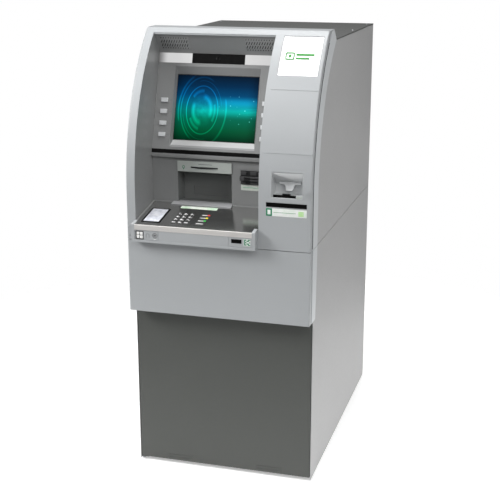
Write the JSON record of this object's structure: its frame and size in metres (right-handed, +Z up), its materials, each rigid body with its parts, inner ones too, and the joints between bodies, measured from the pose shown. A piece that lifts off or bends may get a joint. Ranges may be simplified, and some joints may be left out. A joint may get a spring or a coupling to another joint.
{
  "type": "atm machine",
  "caption": "Lobby cash machine with a curved fascia door, leaning screen, sloping key desk, note niche, deposit column and a safe door below.",
  "frame": {"origin": "centre of the machine's footprint on the floor, under the middle of its overall box", "axes": "+Z up, -Y out of the front towards the customer, +X to the customer's right"},
  "size_m": [0.6, 1.0324, 1.451],
  "materials": {
    "fascia_grey": "fine satin light grey moulding",
    "cabinet_grey": "light grey powder coat",
    "dark_paint": "dark grey powder coat",
    "vault_paint": "grey primer",
    "liner_grey": "satin mid grey moulding",
    "niche_dark": "satin dark grey",
    "printer_grey": "satin pale grey",
    "desk_dark": "satin anthracite",
    "key_dark": "satin anthracite with light marks",
    "side_key_grey": "satin light grey",
    "gloss_black": "gloss black",
    "black_plastic": "satin black",
    "diffuser_white": "white diffuser",
    "sign_white": "white lit panel",
    "screen_glass": "glossy display",
    "trim_silver": "brushed silver",
    "satin_steel": "satin steel",
    "zinc_steel": "zinc plated",
    "dispenser_metal": "anodised",
    "cassette_plastic": "moulded, satin",
    "switch_white": "satin white"
  },
  "bodies": {
    "cabinet": {"vault_body": "vault_paint", "levelling_feet": "zinc_steel", "vault_side_panels": "cabinet_grey", "rear_panel": "cabinet_grey", "upper_side_panels": "cabinet_grey", "top_panel": "dark_paint", "upper_surround": "fascia_grey", "computer_unit": "zinc_steel"},
    "fascia_door": {"fascia_shell": "fascia_grey", "recess_upper": "liner_grey", "recess_lower": "liner_grey", "light_bar": "diffuser_white", "camera_window": "gloss_black", "screen": "screen_glass", "accent_strips": "gloss_black", "note_niche": "niche_dark", "tray_plate": "satin_steel", "receipt_printer": "printer_grey", "card_reader": "black_plastic", "sign_panel": "sign_white", "deposit_recess": "liner_grey", "shelf_housing": "fascia_grey", "shelf_trim": "trim_silver", "desk_top": "desk_dark", "touch_pad": "gloss_black"},
    "safe_door": {"safe_door": "dark_paint", "lower_surround": "fascia_grey"},
    "safe_handle": {"safe_handle": "satin_steel"},
    "lock_bolts": {"lock_bolts": "satin_steel"},
    "combination_dial": {"combination_dial": "black_plastic"},
    "lower_fascia": {"lower_fascia": "fascia_grey"},
    "dispenser": {"dispenser_unit": "dispenser_metal", "cash_cassettes": "cassette_plastic"},
    "cash_shutter": {"cash_shutter": "niche_dark"},
    "deposit_shutter": {"deposit_shutter": "black_plastic"},
    "rocker_switch": {"rocker_switch": "switch_white"},
    "side_key_left_1": {"side_key_left_1": "side_key_grey"},
    "side_key_left_2": {"side_key_left_2": "side_key_grey"},
    "side_key_left_3": {"side_key_left_3": "side_key_grey"},
    "side_key_left_4": {"side_key_left_4": "side_key_grey"},
    "side_key_right_1": {"side_key_right_1": "side_key_grey"},
    "side_key_right_2": {"side_key_right_2": "side_key_grey"},
    "side_key_right_3": {"side_key_right_3": "side_key_grey"},
    "side_key_right_4": {"side_key_right_4": "side_key_grey"},
    "digit_key_1": {"digit_key_1": "key_dark"},
    "digit_key_2": {"digit_key_2": "key_dark"},
    "digit_key_3": {"digit_key_3": "key_dark"},
    "digit_key_4": {"digit_key_4": "key_dark"},
    "digit_key_5": {"digit_key_5": "key_dark"},
    "digit_key_6": {"digit_key_6": "key_dark"},
    "digit_key_7": {"digit_key_7": "key_dark"},
    "digit_key_8": {"digit_key_8": "key_dark"},
    "digit_key_9": {"digit_key_9": "key_dark"},
    "digit_key_10": {"digit_key_10": "key_dark"},
    "digit_key_11": {"digit_key_11": "key_dark"},
    "digit_key_12": {"digit_key_12": "key_dark"},
    "function_key_1": {"function_key_1": "key_dark"},
    "function_key_2": {"function_key_2": "key_dark"},
    "function_key_3": {"function_key_3": "key_dark"},
    "function_key_4": {"function_key_4": "key_dark"}
  },
  "joints": [
    {"name": "fascia_door_hinge", "type": "hinge", "parent": "cabinet", "child": "fascia_door", "pos_m": [-0.294, -0.4638, 0.9], "axis": [0, 0, -1], "range_deg": [0, 90]},
    {"name": "safe_door_hinge", "type": "hinge", "parent": "cabinet", "child": "safe_door", "pos_m": [-0.289, -0.4258, 0.4], "axis": [0, 0, -1], "range_deg": [0, 90]},
    {"name": "safe_handle_turn", "type": "hinge", "parent": "safe_door", "child": "safe_handle", "pos_m": [0.07, -0.4338, 0.68], "axis": [0, 1, 0], "range_deg": [0, 90]},
    {"name": "lock_bolts_slide", "type": "slide", "parent": "safe_door", "child": "lock_bolts", "axis": [1, 0, 0], "range_m": [0, 0.016]},
    {"name": "combination_dial_turn", "type": "hinge", "parent": "safe_door", "child": "combination_dial", "pos_m": [-0.06, -0.4338, 0.68], "axis": [0, 1, 0], "continuous": true},
    {"name": "lower_fascia_hinge", "type": "hinge", "parent": "safe_door", "child": "lower_fascia", "pos_m": [-0.294, -0.4638, 0.68], "axis": [0, 0, -1], "range_deg": [0, 80]},
    {"name": "dispenser_slide", "type": "slide", "parent": "cabinet", "child": "dispenser", "axis": [0, -1, 0], "range_m": [0, 0.15]},
    {"name": "cash_shutter_slide", "type": "slide", "parent": "fascia_door", "child": "cash_shutter", "axis": [0, 0, 1], "range_m": [0, 0.035]},
    {"name": "deposit_shutter_slide", "type": "slide", "parent": "fascia_door", "child": "deposit_shutter", "axis": [0, 0, -1], "range_m": [0, 0.009], "stiffness_N_per_m": 60, "springref_m": -0.004},
    {"name": "rocker_switch_tilt", "type": "hinge", "parent": "fascia_door", "child": "rocker_switch", "pos_m": [-0.247, -0.51, 0.8245], "axis": [1, 0, 0], "range_deg": [-5, 5]},
    {"name": "side_key_left_1_press", "type": "slide", "parent": "fascia_door", "child": "side_key_left_1", "axis": [0, 0.9566, -0.2915], "range_m": [0, 0.0015], "stiffness_N_per_m": 400, "springref_m": -0.0005},
    {"name": "side_key_left_2_press", "type": "slide", "parent": "fascia_door", "child": "side_key_left_2", "axis": [0, 0.9566, -0.2915], "range_m": [0, 0.0015], "stiffness_N_per_m": 400, "springref_m": -0.0005},
    {"name": "side_key_left_3_press", "type": "slide", "parent": "fascia_door", "child": "side_key_left_3", "axis": [0, 0.9566, -0.2915], "range_m": [0, 0.0015], "stiffness_N_per_m": 400, "springref_m": -0.0005},
    {"name": "side_key_left_4_press", "type": "slide", "parent": "fascia_door", "child": "side_key_left_4", "axis": [0, 0.9566, -0.2915], "range_m": [0, 0.0015], "stiffness_N_per_m": 400, "springref_m": -0.0005},
    {"name": "side_key_right_1_press", "type": "slide", "parent": "fascia_door", "child": "side_key_right_1", "axis": [0, 0.9566, -0.2915], "range_m": [0, 0.0015], "stiffness_N_per_m": 400, "springref_m": -0.0005},
    {"name": "side_key_right_2_press", "type": "slide", "parent": "fascia_door", "child": "side_key_right_2", "axis": [0, 0.9566, -0.2915], "range_m": [0, 0.0015], "stiffness_N_per_m": 400, "springref_m": -0.0005},
    {"name": "side_key_right_3_press", "type": "slide", "parent": "fascia_door", "child": "side_key_right_3", "axis": [0, 0.9566, -0.2915], "range_m": [0, 0.0015], "stiffness_N_per_m": 400, "springref_m": -0.0005},
    {"name": "side_key_right_4_press", "type": "slide", "parent": "fascia_door", "child": "side_key_right_4", "axis": [0, 0.9566, -0.2915], "range_m": [0, 0.0015], "stiffness_N_per_m": 400, "springref_m": -0.0005},
    {"name": "digit_key_1_press", "type": "slide", "parent": "fascia_door", "child": "digit_key_1", "axis": [0, 0.1788, -0.9839], "range_m": [0, 0.0015], "stiffness_N_per_m": 400, "springref_m": -0.0005},
    {"name": "digit_key_2_press", "type": "slide", "parent": "fascia_door", "child": "digit_key_2", "axis": [0, 0.1788, -0.9839], "range_m": [0, 0.0015], "stiffness_N_per_m": 400, "springref_m": -0.0005},
    {"name": "digit_key_3_press", "type": "slide", "parent": "fascia_door", "child": "digit_key_3", "axis": [0, 0.1788, -0.9839], "range_m": [0, 0.0015], "stiffness_N_per_m": 400, "springref_m": -0.0005},
    {"name": "digit_key_4_press", "type": "slide", "parent": "fascia_door", "child": "digit_key_4", "axis": [0, 0.1788, -0.9839], "range_m": [0, 0.0015], "stiffness_N_per_m": 400, "springref_m": -0.0005},
    {"name": "digit_key_5_press", "type": "slide", "parent": "fascia_door", "child": "digit_key_5", "axis": [0, 0.1788, -0.9839], "range_m": [0, 0.0015], "stiffness_N_per_m": 400, "springref_m": -0.0005},
    {"name": "digit_key_6_press", "type": "slide", "parent": "fascia_door", "child": "digit_key_6", "axis": [0, 0.1788, -0.9839], "range_m": [0, 0.0015], "stiffness_N_per_m": 400, "springref_m": -0.0005},
    {"name": "digit_key_7_press", "type": "slide", "parent": "fascia_door", "child": "digit_key_7", "axis": [0, 0.1788, -0.9839], "range_m": [0, 0.0015], "stiffness_N_per_m": 400, "springref_m": -0.0005},
    {"name": "digit_key_8_press", "type": "slide", "parent": "fascia_door", "child": "digit_key_8", "axis": [0, 0.1788, -0.9839], "range_m": [0, 0.0015], "stiffness_N_per_m": 400, "springref_m": -0.0005},
    {"name": "digit_key_9_press", "type": "slide", "parent": "fascia_door", "child": "digit_key_9", "axis": [0, 0.1788, -0.9839], "range_m": [0, 0.0015], "stiffness_N_per_m": 400, "springref_m": -0.0005},
    {"name": "digit_key_10_press", "type": "slide", "parent": "fascia_door", "child": "digit_key_10", "axis": [0, 0.1788, -0.9839], "range_m": [0, 0.0015], "stiffness_N_per_m": 400, "springref_m": -0.0005},
    {"name": "digit_key_11_press", "type": "slide", "parent": "fascia_door", "child": "digit_key_11", "axis": [0, 0.1788, -0.9839], "range_m": [0, 0.0015], "stiffness_N_per_m": 400, "springref_m": -0.0005},
    {"name": "digit_key_12_press", "type": "slide", "parent": "fascia_door", "child": "digit_key_12", "axis": [0, 0.1788, -0.9839], "range_m": [0, 0.0015], "stiffness_N_per_m": 400, "springref_m": -0.0005},
    {"name": "function_key_1_press", "type": "slide", "parent": "fascia_door", "child": "function_key_1", "axis": [0, 0.1788, -0.9839], "range_m": [0, 0.0015], "stiffness_N_per_m": 400, "springref_m": -0.0005},
    {"name": "function_key_2_press", "type": "slide", "parent": "fascia_door", "child": "function_key_2", "axis": [0, 0.1788, -0.9839], "range_m": [0, 0.0015], "stiffness_N_per_m": 400, "springref_m": -0.0005},
    {"name": "function_key_3_press", "type": "slide", "parent": "fascia_door", "child": "function_key_3", "axis": [0, 0.1788, -0.9839], "range_m": [0, 0.0015], "stiffness_N_per_m": 400, "springref_m": -0.0005},
    {"name": "function_key_4_press", "type": "slide", "parent": "fascia_door", "child": "function_key_4", "axis": [0, 0.1788, -0.9839], "range_m": [0, 0.0015], "stiffness_N_per_m": 400, "springref_m": -0.0005}
  ],
  "couplings": [
    {"joint": "lock_bolts_slide", "follows": "safe_handle_turn", "m_per_rad": 0.010186}
  ]
}
